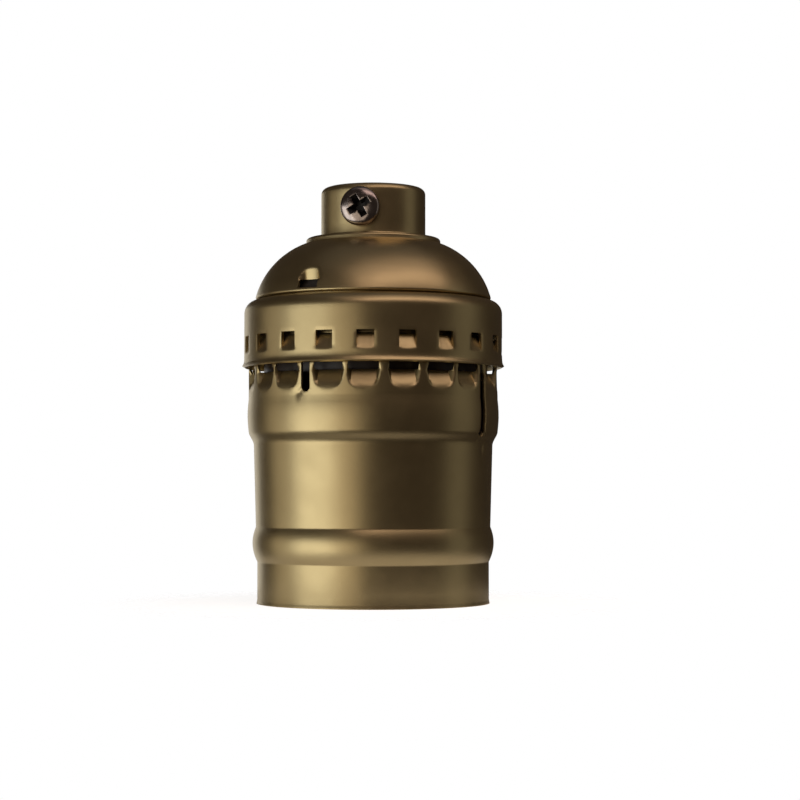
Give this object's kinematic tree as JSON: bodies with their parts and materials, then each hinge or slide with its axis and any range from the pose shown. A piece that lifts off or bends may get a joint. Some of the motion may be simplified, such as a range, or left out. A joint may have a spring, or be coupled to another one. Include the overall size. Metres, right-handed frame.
{
  "type": "lamp holder",
  "caption": "Metal-cased Edison-screw lamp holder with a push-fit domed cap, a threaded neck for a pipe or nipple and a side set screw.",
  "frame": {"origin": "centre of the shell's open rim, at the level it stands on", "axes": "+Z along the axis from the lamp mouth to the neck, -Y towards the front, where the set screw is near"},
  "size_m": [0.0402, 0.04, 0.0635],
  "materials": {
    "bronzed_metal": "satin bronze lacquer on drawn sheet",
    "lining_fibre": "dark pressed fibre",
    "phenolic": "dark brown phenolic moulding",
    "plated_steel": "zinc-plated steel",
    "nickelled_sheet": "nickel-plated rolled brass sheet",
    "brass": "bare brass",
    "black_nickel_screw": "black nickel plate with bright edges"
  },
  "bodies": {
    "shell": {"outer_shell": "bronzed_metal", "shell_liner": "lining_fibre", "screw_shell": "nickelled_sheet", "terminal_block": "phenolic", "insulating_disc": "lining_fibre", "line_rivet": "brass", "neutral_rivet": "nickelled_sheet", "block_rivet_right": "plated_steel", "block_rivet_left": "plated_steel", "line_terminal": "brass", "neutral_terminal": "nickelled_sheet"},
    "cap": {"cap": "bronzed_metal", "cap_liner": "lining_fibre", "threaded_bush": "plated_steel"},
    "set_screw": {"set_screw": "black_nickel_screw"},
    "contact": {"centre_contact": "brass"},
    "line_clamp": {"line_clamp_plate": "brass"},
    "line_screw": {"line_terminal_screw": "brass"},
    "neutral_clamp": {"neutral_clamp_plate": "nickelled_sheet"},
    "neutral_screw": {"neutral_terminal_screw": "nickelled_sheet"}
  },
  "joints": [
    {"name": "cap_pull_off", "type": "slide", "parent": "shell", "child": "cap", "axis": [0, 0, 1], "range_m": [0, 0.02]},
    {"name": "set_screw_travel", "type": "slide", "parent": "cap", "child": "set_screw", "axis": [-0.225, -0.9744, 0], "range_m": [0, 0.002]},
    {"name": "contact_flex", "type": "hinge", "parent": "shell", "child": "contact", "pos_m": [-0.0084, 0, 0.0243], "axis": [0, -1, 0], "range_deg": [0, 6], "stiffness_Nm_per_rad": 0.05},
    {"name": "line_clamp_lift", "type": "slide", "parent": "shell", "child": "line_clamp", "axis": [0, 0, 1], "range_m": [0, 0.0024]},
    {"name": "line_screw_turn", "type": "hinge", "parent": "line_clamp", "child": "line_screw", "pos_m": [-0.0103, 0, 0.0391], "axis": [0, 0, 1], "range_deg": [0, 1450]},
    {"name": "neutral_clamp_lift", "type": "slide", "parent": "shell", "child": "neutral_clamp", "axis": [0, 0, 1], "range_m": [0, 0.0024]},
    {"name": "neutral_screw_turn", "type": "hinge", "parent": "neutral_clamp", "child": "neutral_screw", "pos_m": [0.0103, 0, 0.0391], "axis": [0, 0, 1], "range_deg": [0, 1450]}
  ],
  "couplings": [
    {"joint": "line_screw_turn", "follows": "line_clamp_lift", "rad_per_m": 10472},
    {"joint": "neutral_screw_turn", "follows": "neutral_clamp_lift", "rad_per_m": 10472}
  ]
}
